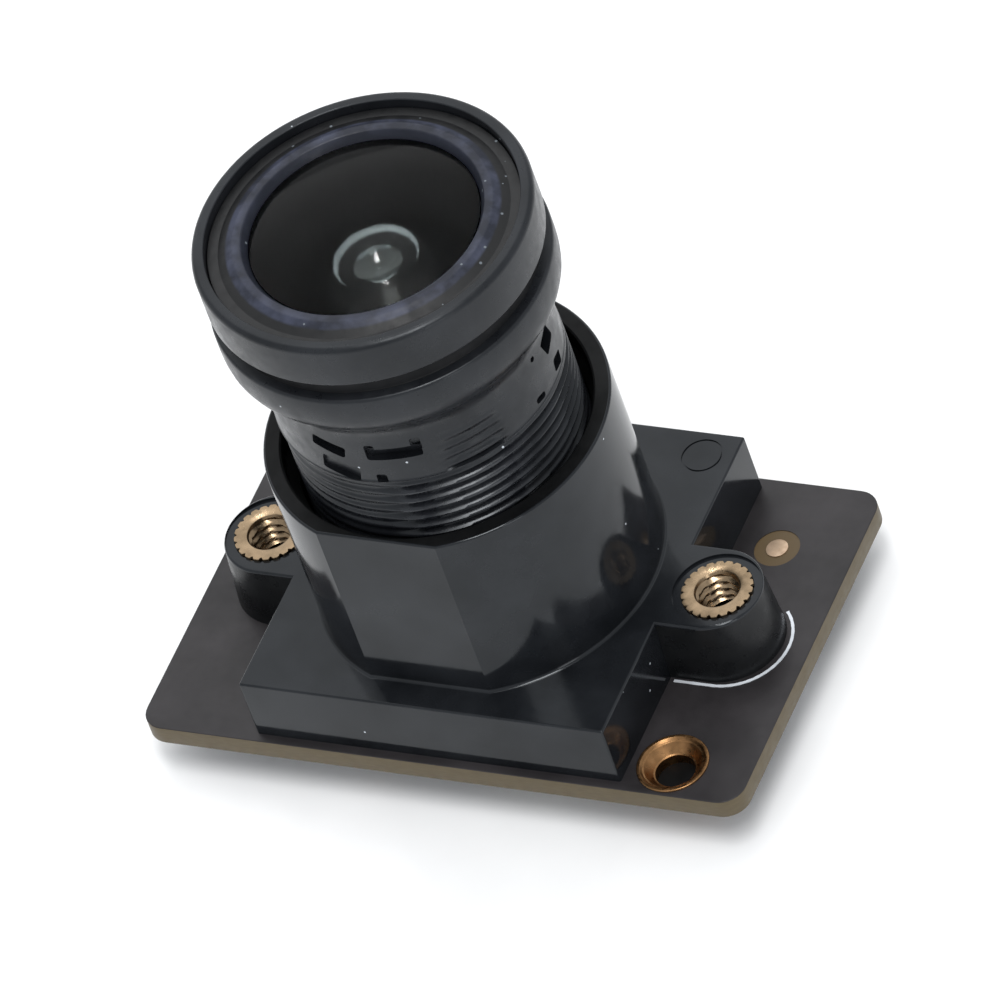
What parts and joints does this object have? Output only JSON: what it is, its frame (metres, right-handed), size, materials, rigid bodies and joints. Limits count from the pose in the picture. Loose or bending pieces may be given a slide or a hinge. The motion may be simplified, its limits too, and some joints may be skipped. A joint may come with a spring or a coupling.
{
  "type": "board camera module with screw-in lens",
  "caption": "Board camera: wide-angle M12 lens screwed into a tall moulded holder on a small circuit board, with flip-latch ribbon connector below.",
  "frame": {"origin": "on the optical axis, level with the lowest feet under the board (screw heads and ribbon connector), at the centre of the board's plan", "axes": "+X along the board's long side, +Y towards the ribbon connector's mouth, +Z along the optical axis towards the subject"},
  "size_m": [0.0266, 0.0166, 0.0262],
  "materials": {
    "solder_mask": "dark brown-black solder mask on glass-epoxy laminate, satin",
    "gold_plate": "gold over copper, satin",
    "bare_copper": "bare copper, dull",
    "white_ink": "printed ink, matt",
    "holder_plastic": "black moulded plastic, glossy",
    "brass": "turned brass, bright",
    "screw_steel": "nickel-plated steel",
    "lens_black": "black, satin",
    "ring_black": "blue-black anodised look, satin with fine speckle",
    "optical_glass": "coated optical glass",
    "filter_glass": "infrared-cut coating, pink to green reflection",
    "rubber": "soft black rubber",
    "ceramic": "sensor carrier, matt",
    "silicon": "polished silicon with colour filter array",
    "connector_plastic": "ivory moulded plastic",
    "latch_plastic": "dark brown moulded plastic",
    "contact_gold": "gold-plated spring contact",
    "tin": "bright tin",
    "chip_epoxy": "black moulding compound",
    "lid_metal": "plated lid, satin",
    "capacitor_ceramic": "tan ceramic",
    "resistor_glaze": "black overglaze"
  },
  "bodies": {
    "camera_board": {"circuit_board": "solder_mask", "board_eyelets": "gold_plate", "fiducial_dot": "bare_copper", "ink_outline": "white_ink", "lens_holder": "holder_plastic", "thread_inserts": "brass", "holder_screws": "screw_steel", "screw_washers": "screw_steel", "sensor_package": "ceramic", "sensor_die": "silicon", "sensor_cover_glass": "optical_glass", "infrared_filter": "filter_glass", "connector_housing": "connector_plastic", "connector_contacts": "contact_gold", "connector_tabs": "tin", "voltage_regulators": "chip_epoxy", "regulator_leads": "tin", "memory_chip": "chip_epoxy", "oscillator_case": "ceramic", "oscillator_cover": "lid_metal", "capacitor_bodies": "capacitor_ceramic", "capacitor_ends": "tin", "resistor_bodies": "resistor_glaze", "resistor_ends": "tin"},
    "optical_stack": {"rear_glass": "optical_glass", "rear_spacer": "lens_black", "doublet_rear_glass": "optical_glass", "doublet_front_glass": "optical_glass", "aperture_stop": "lens_black", "stop_spacer": "lens_black", "second_glass": "optical_glass", "front_spacer": "lens_black", "front_seal": "rubber", "front_glass": "optical_glass"},
    "lens_body": {"lens_barrel": "lens_black", "front_ring": "lens_black", "front_retaining_ring": "ring_black", "rear_retaining_ring": "lens_black"},
    "latch": {"connector_latch": "latch_plastic"}
  },
  "joints": [
    {"name": "focus_lift", "type": "slide", "parent": "camera_board", "child": "optical_stack", "axis": [0, 0, 1], "range_m": [-0.0015, 0.0015]},
    {"name": "focus_turn", "type": "hinge", "parent": "optical_stack", "child": "lens_body", "pos_m": [0, 0, 0.0128], "axis": [0, 0, 1], "range_deg": [-1080, 1080]},
    {"name": "latch_flip", "type": "hinge", "parent": "camera_board", "child": "latch", "pos_m": [0, 0.00575, 0.0005], "axis": [-1, 0, 0], "range_deg": [0, 90]}
  ],
  "couplings": [
    {"joint": "focus_turn", "follows": "focus_lift", "rad_per_m": 12566}
  ]
}
